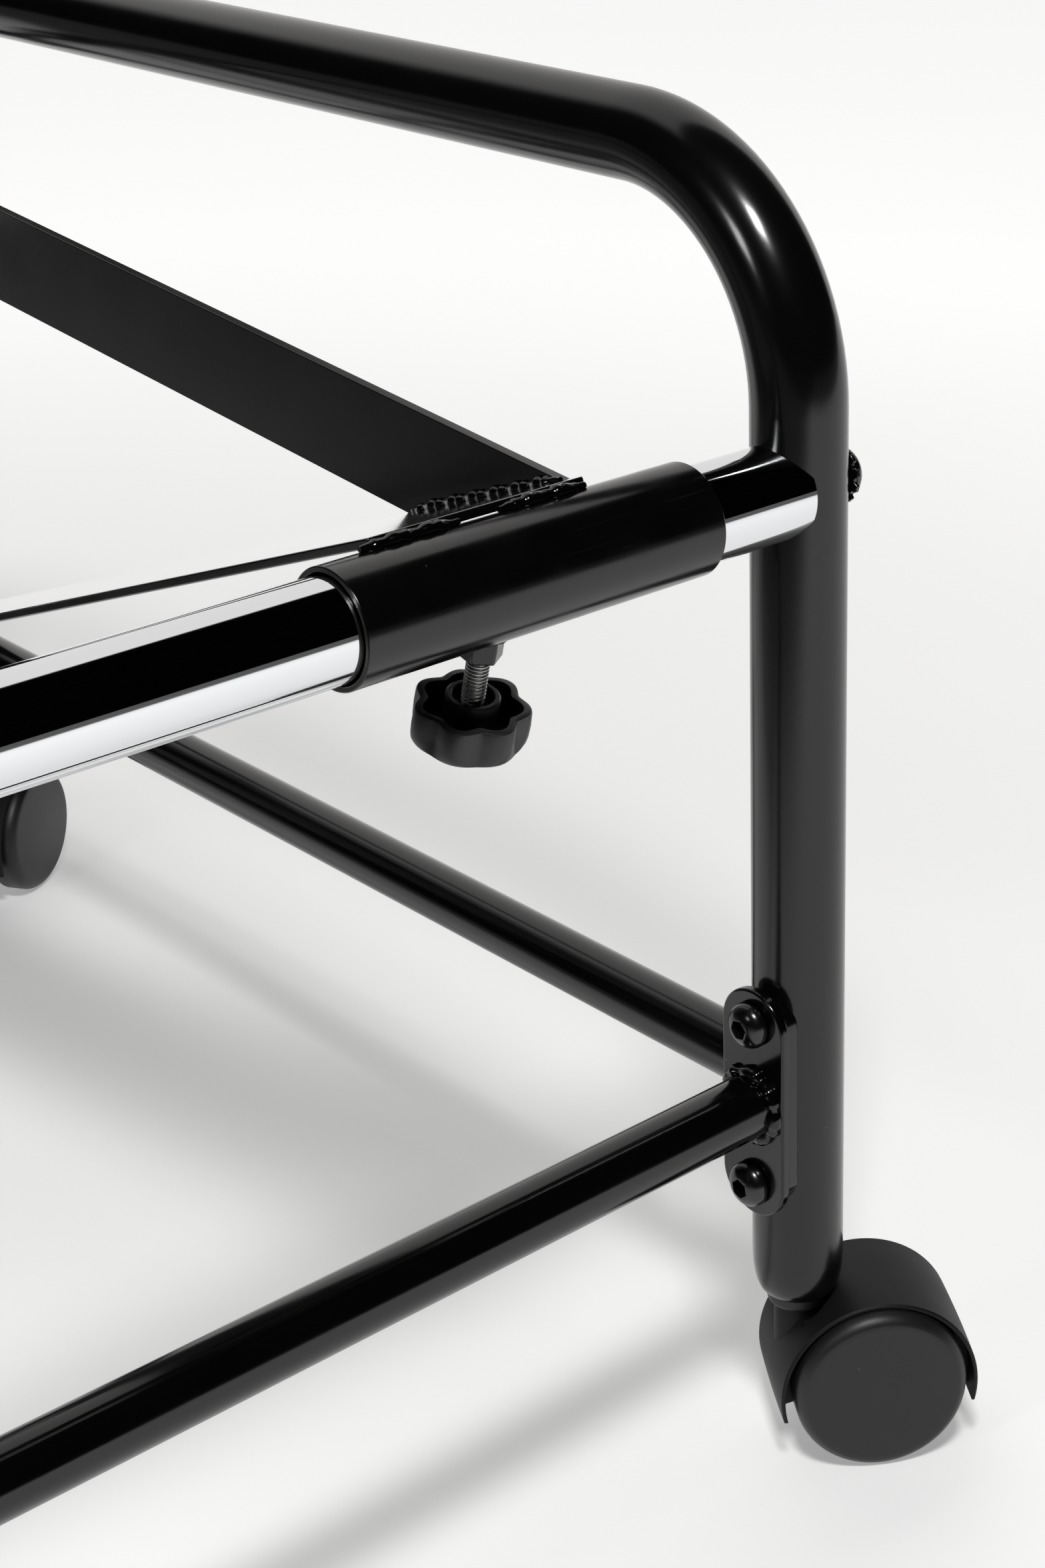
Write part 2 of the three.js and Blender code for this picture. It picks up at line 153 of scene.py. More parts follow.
def growTube(name, start, heading, radius, steps, segments=48, wall=0, smoothAngle=50):
    # a ring pulled along by steps: ("go", x, y, z), ("bend", centre, axis, degrees, count)
    # or ("shape", x, y, z, factor)
    bpy.ops.object.select_all(action="DESELECT")
    rotation = Vector((0, 0, 1)).rotation_difference(Vector(heading)).to_euler()
    fill = "NOTHING" if wall else "NGON"
    bpy.ops.mesh.primitive_circle_add(vertices=segments, radius=radius, fill_type=fill,
                                      location=start, rotation=rotation)
    piece = bpy.context.active_object
    piece.name = name
    bpy.ops.object.transform_apply(location=True, rotation=True, scale=True)
    openEdit(piece)
    place = Vector(start)
    for step in steps:
        if step[0] == "bend":
            centre, axis, degrees, count = step[1:]
            bpy.ops.mesh.spin(steps=count, angle=math.radians(degrees), center=centre, axis=axis)
            # spin turns the left-handed way
            swing = Matrix.Rotation(-math.radians(degrees), 3, Vector(axis))
            place = Vector(centre) + swing @ (place - Vector(centre))
        else:
            offset = Vector(step[1:4])
            bpy.ops.mesh.extrude_region_move(TRANSFORM_OT_translate={"value": offset})
            place += offset
            if step[0] == "shape":
                factor = step[4]
                bpy.ops.transform.resize(value=(factor, factor, factor), center_override=place)
    tidyNormals()
    closeEdit(smoothAngle)
    if wall:
        applyModifier(piece, "SOLIDIFY", thickness=wall, offset=-1, use_rim=True)
        bpy.ops.object.shade_smooth_by_angle(angle=math.radians(smoothAngle))
    return piece


def traceLine(name, points):
    # one vertex pulled from point to point
    bpy.ops.object.select_all(action="DESELECT")
    bpy.ops.mesh.primitive_circle_add(vertices=3, radius=0.001)
    piece = bpy.context.active_object
    piece.name = name
    openEdit(piece)
    bpy.ops.mesh.merge(type="CENTER")
    bpy.ops.transform.translate(value=points[0])
    for before, after in zip(points, points[1:]):
        offset = [end - start for start, end in zip(before, after)]
        bpy.ops.mesh.extrude_region_move(TRANSFORM_OT_translate={"value": offset})
    bpy.ops.mesh.select_all(action="SELECT")
    return piece


def spinProfile(name, points, steps=64, matrix=Matrix(), smoothAngle=35):
    # a profile of (radius, height) points spun about Z
    piece = traceLine(name, [(radius, 0, height) for radius, height in points])
    bpy.ops.mesh.spin(steps=steps, angle=2 * math.pi, center=(0, 0, 0), axis=(0, 0, 1))
    tidyNormals()
    closeEdit(smoothAngle)
    piece.data.transform(matrix)
    return piece


def pullOutline(name, points, offset, matrix=Matrix(), smoothAngle=35):
    # a flat outline in the XY plane, filled and pulled into a slab
    piece = traceLine(name, [(x, y, 0) for x, y in points])
    bpy.ops.mesh.edge_face_add()
    bpy.ops.mesh.extrude_region_move(TRANSFORM_OT_translate={"value": offset})
    tidyNormals()
    closeEdit(smoothAngle)
    piece.data.transform(matrix)
    return piece


def arc(centreR, centreZ, radius, fromDegrees, toDegrees, count):
    points = []
    for i in range(count + 1):
        angle = math.radians(fromDegrees + (toDegrees - fromDegrees) * i / count)
        points.append((centreR + radius * math.cos(angle), centreZ + radius * math.sin(angle)))
    return points


weld = {"step": 0.5 * mm, "sides": 4, "wander": 0.12, "taper": 0.35, "taperRun": 0.8}


def weldBead(name, points, radius, closed=False, seed=1, ripple=6 * mm, lump=0.22):
    # a run of overlapping puddles softened by the coat: the bead swells and wanders slowly
    dice = random.Random(seed)
    dense = []
    corners = points + points[:1] if closed else points
    length = 0
    for before, after in zip(corners, corners[1:]):
        span = Vector(after) - Vector(before)
        count = max(1, int(span.length / weld["step"]))
        for i in range(count):
            dense.append((Vector(before) + span * i / count, length + span.length * i / count))
        length += span.length
    if not closed:
        dense.append((Vector(points[-1]), length))
    curve = bpy.data.curves.new(name, "CURVE")
    curve.dimensions = "3D"
    curve.bevel_depth = radius
    curve.bevel_resolution = weld["sides"]
    curve.use_fill_caps = True
    line = curve.splines.new("POLY")
    line.use_cyclic_u = closed
    line.points.add(len(dense) - 1)
    cycles = max(2, round(length / ripple))
    waves = [(2 * math.pi * cycles * k / length, dice.uniform(0, 2 * math.pi), dice.uniform(0.6, 1) / k)
             for k in (1, 2, 3)]
    for point, (place, run) in zip(line.points, dense):
        swell = sum(size * math.sin(rate * run + phase) for rate, phase, size in waves)
        drift = sum(size * math.cos(rate * run + 2 * phase) for rate, phase, size in waves)
        fromEnd = min(run, length - run)
        near = 1 if closed else min(1, weld["taper"] + fromEnd / (weld["taperRun"] * ripple))
        point.co = (place.x, place.y, place.z + weld["wander"] * radius * drift, 1)
        point.radius = near * (1 + lump * swell)
    piece = bpy.data.objects.new(name, curve)
    bpy.context.scene.collection.objects.link(piece)
    selectOnly(piece)
    bpy.ops.object.convert(target="MESH")
    bpy.ops.object.shade_smooth_by_angle(angle=math.radians(80))
    return bpy.context.active_object


# ---- finishes ----
noiseSpan = {"From Min": 0.3, "From Max": 0.7}
finishScale = {"mottle": 0.8 * mm, "scratch": (30.0, 900.0, 900.0), "scratchFrom": 0.66, "scratchFull": 0.78}


def linear(hexColour):
    parts = [int(hexColour[i:i + 2], 16) / 255 for i in (1, 3, 5)]
    return tuple(c / 12.92 if c <= 0.04045 else ((c + 0.055) / 1.055) ** 2.4 for c in parts) + (1,)


def addNode(tree, kind, settings=None, inputs=None):
    made = tree.nodes.new(kind)
    for key, value in (settings or {}).items():
        setattr(made, key, value)
    for key, value in (inputs or {}).items():
        if isinstance(value, bpy.types.NodeSocket):
            tree.links.new(value, made.inputs[key])
        else:
            made.inputs[key].default_value = value
    return made


def makeFinish(name, colour, roughness, metallic=0.0, ior=1.5, coat=0.0, coatRoughness=0.1, specular=0.5,
               grain=None, waves=None, mottle=0.0, roughSpread=0.0, patch=30 * mm, dust=None,
               scratches=0.0, lightColour=None):
    # grain and waves are (size in metres, height in metres) of the fine and the broad unevenness
    material = bpy.data.materials.new(name)
    material.use_nodes = True
    tree = material.node_tree
    shader = tree.nodes["Principled BSDF"]
    shader.inputs["Metallic"].default_value = metallic
    if not metallic:
        shader.inputs["IOR"].default_value = ior
    shader.inputs["Coat Weight"].default_value = coat
    shader.inputs["Coat Roughness"].default_value = coatRoughness
    shader.inputs["Specular IOR Level"].default_value = specular
    place = addNode(tree, "ShaderNodeTexCoord").outputs["Object"]
    patches = addNode(tree, "ShaderNodeTexNoise", None, {"Vector": place, "Scale": 1 / patch, "Detail": 4.0})
    base = addNode(tree, "ShaderNodeMix", {"data_type": "RGBA"}, {
        0: patches.outputs["Fac"], 6: linear(colour), 7: linear(lightColour or colour)})
    tint = base.outputs[2]
    if mottle:
        fine = addNode(tree, "ShaderNodeTexNoise", None, {
            "Vector": place, "Scale": 1 / finishScale["mottle"], "Detail": 3.0})
        shift = addNode(tree, "ShaderNodeMapRange", None, {
            "Value": fine.outputs["Fac"], "To Min": 1 - mottle, "To Max": 1 + mottle, **noiseSpan})
        tint = addNode(tree, "ShaderNodeMix", {"data_type": "RGBA", "blend_type": "MULTIPLY"}, {
            0: 1.0, 6: tint, 7: shift.outputs["Result"]}).outputs[2]
    rough = addNode(tree, "ShaderNodeMapRange", None, {
        "Value": patches.outputs["Fac"], "To Min": roughness - roughSpread, "To Max": roughness + roughSpread,
        **noiseSpan}).outputs["Result"]
    if dust:
        spacing, size, dustColour = dust
        cells = addNode(tree, "ShaderNodeTexVoronoi", None, {
            "Vector": place, "Scale": 1 / spacing, "Randomness": 1.0})
        speck = addNode(tree, "ShaderNodeMapRange", {"clamp": True}, {
            "Value": cells.outputs["Distance"], "From Min": size / spacing, "From Max": 0.6 * size / spacing,
            "To Min": 0.0, "To Max": 0.75})
        tint = addNode(tree, "ShaderNodeMix", {"data_type": "RGBA"}, {
            0: speck.outputs["Result"], 6: tint, 7: linear(dustColour)}).outputs[2]
    if scratches:
        stretched = addNode(tree, "ShaderNodeMapping", None, {
            "Vector": place, "Scale": finishScale["scratch"]})
        lines = addNode(tree, "ShaderNodeTexNoise", None, {
            "Vector": stretched.outputs["Vector"], "Scale": 1.0, "Detail": 2.0})
        mark = addNode(tree, "ShaderNodeMapRange", {"clamp": True}, {
            "Value": lines.outputs["Fac"], "From Min": finishScale["scratchFrom"],
            "From Max": finishScale["scratchFull"], "To Min": 0.0, "To Max": scratches})
        rough = addNode(tree, "ShaderNodeMath", {"operation": "ADD"}, {
            0: rough, 1: mark.outputs["Result"]}).outputs[0]
    tree.links.new(tint, shader.inputs["Base Color"])
    tree.links.new(rough, shader.inputs["Roughness"])
    normal = None
    for size, height in [pair for pair in (waves, grain) if pair]:
        texture = addNode(tree, "ShaderNodeTexNoise", None, {
            "Vector": place, "Scale": 1 / size, "Detail": 3.0})
        inputs = {"Height": texture.outputs["Fac"], "Strength": 1.0, "Distance": height}
        if normal:
            inputs["Normal"] = normal
        normal = addNode(tree, "ShaderNodeBump", None, inputs).outputs["Normal"]
    if normal:
        tree.links.new(normal, shader.inputs["Normal"])
        if coat:
            tree.links.new(normal, shader.inputs["Coat Normal"])
    return material


# polyester powder coat, sprayed on steel tube and baked: satin, with a faint orange peel
powderCoat = makeFinish("satinPowderCoat", "#070606", 0.17, ior=1.5, lightColour="#0b0a0a",
                        waves=(2.6 * mm, 0.006 * mm), grain=(0.7 * mm, 0.003 * mm), roughSpread=0.02,
                        dust=(21 * mm, 0.28 * mm, "#6d6a66"))
# the tray faces up and took the heaviest spray, so it flowed out to a hard gloss
trayCoat = makeFinish("trayPowderCoat", "#080707", 0.14, coat=1.0, coatRoughness=0.06,
                      lightColour="#0b0a0a", roughSpread=0.02)
# the same coat laid on thicker, so it levels out to a gloss
glossCoat = makeFinish("glossPowderCoat", "#060505", 0.14, ior=1.5,
                       waves=(3.2 * mm, 0.008 * mm), roughSpread=0.03, dust=(15 * mm, 0.3 * mm, "#8a8681"))
# the sleeve's coat is handled, so it has a duller bloom with dust and fine rubs along it
handledCoat = makeFinish("handledPowderCoat", "#050404", 0.18, ior=1.5, lightColour="#090808",
                         waves=(2.6 * mm, 0.006 * mm), roughSpread=0.04, patch=14 * mm,
                         dust=(7 * mm, 0.22 * mm, "#7a756f"), scratches=0.18)
# rim of the sleeve where the coat has rubbed through to steel
wornRim = makeFinish("wornSteelRim", "#4a4744", 0.34, metallic=0.6, lightColour="#151413", patch=4 * mm,
                     roughSpread=0.08, grain=(0.6 * mm, 0.02 * mm))
# coat over a weld: it pools between the ripples and shines on the crests
coatedWeld = makeFinish("coatedWeld", "#060505", 0.12, waves=(3.5 * mm, 0.12 * mm),
                        grain=(1.2 * mm, 0.02 * mm), roughSpread=0.05, patch=5 * mm)
# bright nickel-chrome plate on polished tube: a mirror
chromePlate = makeFinish("chromePlate", "#e4e6e8", 0.045, metallic=1.0, roughSpread=0.012, patch=60 * mm,
                         scratches=0.04)
# electro-zinc on a rolled thread: bright, slightly milky
zincPlate = makeFinish("zincPlate", "#c9cac8", 0.27, metallic=1.0, lightColour="#aeb0ae", patch=2 * mm,
                       roughSpread=0.07, grain=(0.4 * mm, 0.012 * mm))
# black oxide on alloy steel screws, oiled: dark with sharp lights
blackOxide = makeFinish("blackOxideSteel", "#0a0a0b", 0.2, ior=1.6, grain=(0.5 * mm, 0.005 * mm),
                        roughSpread=0.05, patch=3 * mm)
# moulded nylon 6, spark-eroded tool: charcoal and matte with a fine stipple
mouldedNylon = makeFinish("mouldedNylon", "#161617", 0.45, ior=1.5, lightColour="#19191b",
                          grain=(0.45 * mm, 0.014 * mm), mottle=0.05, roughSpread=0.04,
                          dust=(9 * mm, 0.2 * mm, "#8c8c8c"))
# the hood comes out of a rougher tool than the wheels and is dusty on top
hoodNylon = makeFinish("hoodNylon", "#131214", 0.55, specular=0.22, lightColour="#171617",
                       grain=(0.45 * mm, 0.014 * mm), mottle=0.06, roughSpread=0.04,
                       dust=(5 * mm, 0.2 * mm, "#8c8c8c"))
# glass-filled nylon knob: coarser stipple, paler where hands rub it
stippledNylon = makeFinish("stippledNylon", "#100f0f", 0.4, ior=1.53, lightColour="#161515", patch=6 * mm,
                           grain=(0.5 * mm, 0.035 * mm), mottle=0.08, roughSpread=0.06)
# polypropylene spacer straight from a polished tool
glossPlastic = makeFinish("polishedPolypropylene", "#070708", 0.16, ior=1.49, roughSpread=0.03)
print("finishes made")


def finishPiece(piece, material, body, replaces=()):
    if not piece.data.materials:
        piece.data.materials.append(material)
    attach(piece, body)
    if replaces:
        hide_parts(*replaces)
    return piece


# ---- side frames: a bent hoop on two legs, a lower rail and its welds ----
hoop = {"radius": legRadius, "wall": 1.5 * mm, "bend": 63 * mm, "footTop": 62 * mm, "footTip": 9.4 * mm,
        "footBottom": 50.5 * mm, "segments": 64, "bendSteps": 28, "footSteps": 6}
lowRail = {"radius": 9 * mm, "segments": 48, "bury": 4 * mm}
railBead = {"radius": 1.5 * mm, "outside": 0.5 * mm, "inLeg": 0.3 * mm, "points": 40, "ripple": 4 * mm,
            "lump": 0.14, "seed": 5}


def footSteps(falling):
    # the drawn-in foot as a quarter ellipse
    drop = hoop["footTop"] - hoop["footBottom"]
    shapes = []
    for i in range(hoop["footSteps"] + 1):
        angle = math.pi / 2 * i / hoop["footSteps"]
        radius = hoop["footTip"] + (hoop["radius"] - hoop["footTip"]) * math.cos(angle)
        shapes.append((radius, -drop * math.sin(angle)))
    if not falling:
        shapes.reverse()
    return [("shape", 0, 0, after[1] - before[1], after[0] / before[0])
            for before, after in zip(shapes, shapes[1:])]


def makeHoop():
    bendZ = hoopTop - hoop["bend"]
    rise = bendZ - hoop["footTop"]
    run = 2 * (legY - hoop["bend"])
    steps = footSteps(False) + [("go", 0, 0, rise)]
    steps.append(("bend", (legX, hoop["bend"] - legY, bendZ), (1, 0, 0), 90, hoop["bendSteps"]))
    steps.append(("go", 0, run, 0))
    steps.append(("bend", (legX, legY - hoop["bend"], bendZ), (1, 0, 0), 90, hoop["bendSteps"]))
    steps.append(("go", 0, 0, -rise))
    steps += footSteps(True)
    return growTube("sideHoop", (legX, -legY, hoop["footBottom"]), (0, 0, 1), hoop["footTip"], steps,
                    hoop["segments"], hoop["wall"])


def makeRailWeld(end):
    # the closed loop where the low rail meets the leg at this end
    tube = lowRail["radius"] + railBead["outside"]
    leg = hoop["radius"] - railBead["inLeg"]
    loop = []
    for i in range(railBead["points"]):
        angle = 2 * math.pi * i / railBead["points"]
        across, up = tube * math.cos(angle), tube * math.sin(angle)
        deep = math.sqrt(leg ** 2 - across ** 2) * -end
        loop.append((legX + across, end * legY + deep, barHeight + up))
    return weldBead("railWeld", loop, railBead["radius"], True, railBead["seed"] + end, railBead["ripple"],
                    railBead["lump"])


sideHoop = makeHoop()
lowTube = growTube("sideRail", (legX, -legY + lowRail["bury"], barHeight), (0, 1, 0), lowRail["radius"],
                   [("go", 0, 2 * legY - 2 * lowRail["bury"], 0)], lowRail["segments"])
railWelds = [makeRailWeld(end) for end in ends.values()]
for piece, name, material in ((sideHoop, "hoop", powderCoat), (lowTube, "low_rail", powderCoat),
                              (railWelds[0], "front_rail_weld", coatedWeld),
                              (railWelds[1], "rear_rail_weld", coatedWeld)):
    for side, sign in sides.items():
        made = copyPiece(piece, side + "_" + name, move(x=(sign - 1) * legX))
        replaced = [side + "_side_frame"] if name == "hoop" else []
        finishPiece(made, material, "frame", replaced)
    bpy.data.objects.remove(piece)
print("side frames made")


# ---- chromed rails ----
rail = {"radius": 13 * mm, "coped": 6 * mm, "segments": 96}
cope = {"radius": legRadius + 0.1 * mm, "half": 30 * mm, "segments": 64}
for end, sign in ends.items():
    reach = legX - rail["coped"]
    tube = growTube(end + "_rail_tube", (-reach, sign * legY, railHeight), (1, 0, 0), rail["radius"],
                    [("go", 2 * reach, 0, 0)], rail["segments"])
    # the ends are cut to saddle the legs
    for side in sides.values():
        tool = growTube("cope", (side * legX, sign * legY, railHeight - cope["half"]), (0, 0, 1),
                        cope["radius"], [("go", 0, 0, 2 * cope["half"])], cope["segments"])
        carve(tube, tool)
    smooth(tube, 40)
    finishPiece(tube, chromePlate, "frame", [end + "_chrome_rail"])
print("rails made")


# ---- fasteners, made along +Z with the underside of the head at the origin ----
barScrew = {"head": 6.6 * mm, "rise": 5 * mm, "socket": 5 * mm, "shank": 3 * mm, "length": 15 * mm}
railBolt = {"head": 7.1 * mm, "rise": 4.6 * mm, "socket": 5.8 * mm, "shank": 4 * mm, "length": 20 * mm}
button = {"lip": 0.4 * mm, "skirt": 0.2, "crown": 1.15, "steps": 9, "edge": 0.22 * mm, "socketDepth": 0.35}
washer = {"radius": 8.6 * mm, "root": 7.2 * mm, "thick": 1.2 * mm, "teeth": 12, "gap": 0.02 * mm}
screwTurn = {"upper": 12, "lower": 41}


def makeButton(name, size):
    # domed head with a soft rim and a flat crown round the socket
    head, rise = size["head"], size["rise"]
    skirt, crown, lip = button["skirt"], button["crown"], button["lip"]
    angles = [crown * i / button["steps"] for i in range(button["steps"] + 1)]
    dome = [(head * math.cos(a), rise * (skirt + (1 - skirt) * math.sin(a) / math.sin(crown)))
            for a in angles]
    profile = [(0, -size["length"]), (size["shank"], -size["length"]), (size["shank"], 0), (head - lip, 0),
               (head, lip)] + dome + [(0, rise)]
    screw = spinProfile(name, profile, 48)
    bpy.ops.object.select_all(action="DESELECT")
    bpy.ops.mesh.primitive_cylinder_add(vertices=6, radius=size["socket"] / math.sqrt(3), depth=rise * 2,
                                        location=(0, 0, rise * (1 + button["socketDepth"])))
    tool = bpy.context.active_object
    bpy.ops.object.transform_apply(location=True, rotation=True, scale=True)
    carve(screw, tool)
    softenEdges(screw, button["edge"], 35, 2)
    smooth(screw, 40)
    return screw


def makeToothedWasher():
    outline = []
    for i in range(washer["teeth"]):
        for part, radius in ((0.0, washer["root"]), (0.28, washer["root"]),
                             (0.4, washer["radius"]), (0.85, washer["radius"])):
            angle = 2 * math.pi * (i + part) / washer["teeth"]
            outline.append((radius * math.cos(angle), radius * math.sin(angle)))
    made = pullOutline("toothedWasher", outline, (0, 0, washer["thick"]),
                       move(z=-washer["thick"] - washer["gap"]))
    softenEdges(made, 0.2 * mm, 40, 2)
    return made


screw = makeButton("screw", barScrew)
bolt = joinPieces("bolt", [makeButton("bolt", railBolt), makeToothedWasher()])
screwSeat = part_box("front_right_upper_screw")
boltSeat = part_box("front_right_rail_bolt")[1][0] - railBolt["rise"]
screwX = screwSeat[0][0] + barScrew["rise"]
for tag, (side, end) in corners.items():
    face = turn(90 if side > 0 else -90, "Y")
    made = copyPiece(bolt, tag + "_button_bolt", move(side * boltSeat, end * legY, railHeight) @ face)
    finishPiece(made, blackOxide, "frame", [tag + "_rail_bolt"])
    for level, spin in screwTurn.items():
        node = tag + "_" + level + "_screw"
        seat = move(side * screwX, end * legY, middle(node).z)
        made = copyPiece(screw, node + "_head", seat @ turn(-90 * side, "Y") @ turn(spin, "Z"))
        finishPiece(made, blackOxide, "frame", [node])
bpy.data.objects.remove(screw)
bpy.data.objects.remove(bolt)
print("fasteners made")


# ---- cross bars: a tube welded to two end plates, over plastic saddles ----
bar = {"radius": 9 * mm, "segments": 56, "plateWidth": 24 * mm, "plateHeight": 70 * mm, "plateThick": 3 * mm,
       "edge": 0.7 * mm, "bury": 0.5 * mm}
barBead = {"radius": 1.9 * mm, "outside": 0.7 * mm, "back": 0.6 * mm, "points": 44, "ripple": 9 * mm,
           "lump": 0.3, "seed": 11}
spacer = {"depth": 4.5 * mm, "shrink": 2.2 * mm, "hollow": 3.3 * mm, "radius": legRadius + 0.3 * mm,
          "reach": 50 * mm, "edge": 0.35 * mm}
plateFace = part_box("front_cross_bar")[1][0]


def makeStadium(name, thick, grow=0):
    # a round disc pulled apart into a plate with full-radius ends, in the YZ plane from X = 0 to thick
    bpy.ops.object.select_all(action="DESELECT")
    half = bar["plateWidth"] / 2 + grow
    bpy.ops.mesh.primitive_cylinder_add(vertices=62, radius=half, depth=thick, location=(0, 0, thick / 2))
    plate = bpy.context.active_object
    plate.name = name
    bpy.ops.object.transform_apply(location=True, rotation=True, scale=True)
    openEdit(plate)
    pickVerts(plate, lambda co: co.y > 0)
    bpy.ops.transform.translate(value=(0, bar["plateHeight"] / 2 - bar["plateWidth"] / 2, 0))
    pickVerts(plate, lambda co: co.y <= 0)
    bpy.ops.transform.translate(value=(0, bar["plateWidth"] / 2 - bar["plateHeight"] / 2, 0))
    closeEdit()
    plate.data.transform(turn(90, "Z") @ turn(90, "X"))
    return plate


def makeCrossBar(end, sign):
    face = plateFace - bar["plateThick"]
    tube = growTube(end + "_bar", (-face - bar["bury"], 0, 0), (1, 0, 0), bar["radius"],
                    [("go", 2 * face + 2 * bar["bury"], 0, 0)], bar["segments"])
    parts = [tube]
    for side in sides.values():
        plate = makeStadium("plate", bar["plateThick"])
        softenEdges(plate, bar["edge"], 40, 3)
        smooth(plate, 50)
        plate.data.transform(move(x=face if side > 0 else -face - bar["plateThick"]))
        parts.append(plate)
    made = joinPieces(end + "_welded_bar", parts)
    made.data.transform(move(y=sign * legY, z=barHeight))
    finishPiece(made, glossCoat, "frame", [end + "_cross_bar"])
    for name, side in sides.items():
        ring = []
        reach = bar["radius"] + barBead["outside"]
        for i in range(barBead["points"]):
            angle = 2 * math.pi * i / barBead["points"]
            ring.append((side * (face - barBead["back"]), sign * legY + reach * math.cos(angle),
                         barHeight + reach * math.sin(angle)))
        bead = weldBead(end + "_" + name + "_bar_weld", ring, barBead["radius"], True,
                        barBead["seed"] + side + 3 * sign, barBead["ripple"], barBead["lump"])
        finishPiece(bead, coatedWeld, "frame")


def makeSaddle():
    # hollowed to sit on the leg
    block = makeStadium("saddle", spacer["depth"], -spacer["shrink"])
    centre = spacer["depth"] - spacer["hollow"] + spacer["radius"]
    tool = growTube("legClear", (centre, 0, -spacer["reach"]), (0, 0, 1), spacer["radius"],
                    [("go", 0, 0, 2 * spacer["reach"])], hoop["segments"])
    carve(block, tool)
    softenEdges(block, spacer["edge"], 35, 2)
    smooth(block, 45)
    return block


for end, sign in ends.items():
    makeCrossBar(end, sign)
saddle = makeSaddle()
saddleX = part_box("front_right_saddle")[0][0]
for tag, (side, end) in corners.items():
    place = move(side * saddleX, end * legY, barHeight) @ (Matrix() if side > 0 else turn(180, "Z"))
    made = copyPiece(saddle, tag + "_spacer", place)
    finishPiece(made, glossPlastic, "frame", [tag + "_saddle"])
bpy.data.objects.remove(saddle)
print("cross bars made")


# ---- casters, made about the stem's axis with the wheels trailing towards +X ----
caster = {"trail": 20.8 * mm, "height": 25.25 * mm, "neck": 6.85 * mm, "neckTop": 46.2 * mm, "turn": 33}
wheel = {"radius": 25.25 * mm, "face": 22.4 * mm, "roll": 4.5 * mm, "inner": 9.5 * mm, "bore": 3.3 * mm,
         "recess": 17.8 * mm, "edge": 1.5 * mm, "crown": 0.9 * mm, "sweep": 68, "domeSteps": 14}
hood = {"middle": 29.3 * mm, "rim": 29 * mm, "half": 17.5 * mm, "wall": 1.1 * mm, "core": 9 * mm,
        "drop": 2.3 * mm, "low": -13, "high": 194, "lip": 0.5 * mm, "hub": 4 * mm, "neckFoot": 26 * mm,
        "rows": 12, "steps": 56, "edge": 0.35 * mm}
# radius and height of the hollow that the foot of the leg stands in
footRoom = [(0, 42.5), (10.4, 42.5), (10.4, 50.5), (12.3, 53.5), (13.6, 57), (14, 62), (14, 72), (0, 72)]
plug = {"flange": 8.9 * mm, "barrel": 7.5 * mm, "bottom": 46.5 * mm, "seat": 50.2 * mm, "top": 86 * mm,
        "bore": 5.3 * mm, "edge": 1.4 * mm}


def makeWheel():
    r, face, inner, edge = wheel["radius"], wheel["face"], wheel["inner"], wheel["edge"]
    profile = [(wheel["bore"], inner), (r - edge, inner)] + arc(r - edge, inner + edge, edge, -80, 0, 4)
    # the tread rolls over into a shallow dome
    roll, sweep = wheel["roll"], wheel["sweep"]
    profile += arc(r - roll, face - wheel["crown"] - roll * math.sin(math.radians(sweep)), roll, 0, sweep, 9)
    rimR, rimZ = profile[-1]
    for i in range(1, wheel["domeSteps"] + 1):
        share = i / wheel["domeSteps"]
        profile.append((rimR * (1 - share), rimZ + (face - rimZ) * math.sin(share * math.pi / 2)))
    profile += [(0, wheel["recess"]), (wheel["bore"], wheel["recess"]), (wheel["bore"], inner)]
    return spinProfile("wheel", profile, 96, turn(-90, "X"), 30)


def hoodRadius(across):
    return hood["middle"] - (hood["middle"] - hood["rim"]) * (across / hood["half"]) ** 2


def makeHood():
    # a barrel-shaped shell over both wheels with a solid core between them, spun about the axle
    half, core, wall, lip, hub = (hood[key] for key in ("half", "core", "wall", "lip", "hub"))
    rows = [half * (i / hood["rows"] * 2 - 1) for i in range(1, hood["rows"])]
    points = [(hoodRadius(half) - lip, -half), (hoodRadius(-half + lip), -half + lip)]
    points += [(hoodRadius(y), y) for y in rows]
    points += [(hoodRadius(half - lip), half - lip), (hoodRadius(half) - lip, half)]
    points += [(hoodRadius(half) - wall, half), (hoodRadius(core) - wall, core), (hub, core), (hub, -core),
               (hoodRadius(core) - wall, -core), (hoodRadius(half) - wall, -half)]
    low, sweep = math.radians(hood["low"]), math.radians(hood["high"] - hood["low"])
    piece = traceLine("hoodShell", [(x, y, 0) for x, y in points])
    bpy.ops.mesh.edge_face_add()
    bpy.ops.mesh.spin(steps=hood["steps"], angle=sweep, center=(0, 0, 0), axis=(0, 1, 0))
    tidyNormals()
    closeEdit(30)
    # spin went left-handed about Y, from +X up over the top, so it only needs its start turned down
    piece.data.transform(Matrix.Rotation(-low, 4, "Y"))
    piece.data.transform(move(caster["trail"], 0, caster["height"] - hood["drop"]))
    carve(piece, spinProfile("room", [(radius * mm, height * mm) for radius, height in footRoom], 56))
    softenEdges(piece, hood["edge"], 38, 2)
    neck, top, foot = caster["neck"], caster["neckTop"], hood["neckFoot"]
    stem = spinProfile("neck", [(0, foot), (neck, foot), (neck, top - lip), (neck - lip, top), (0, top)], 48)
    made = joinPieces("hood", [piece, stem])
    smooth(made, 32)
    return made


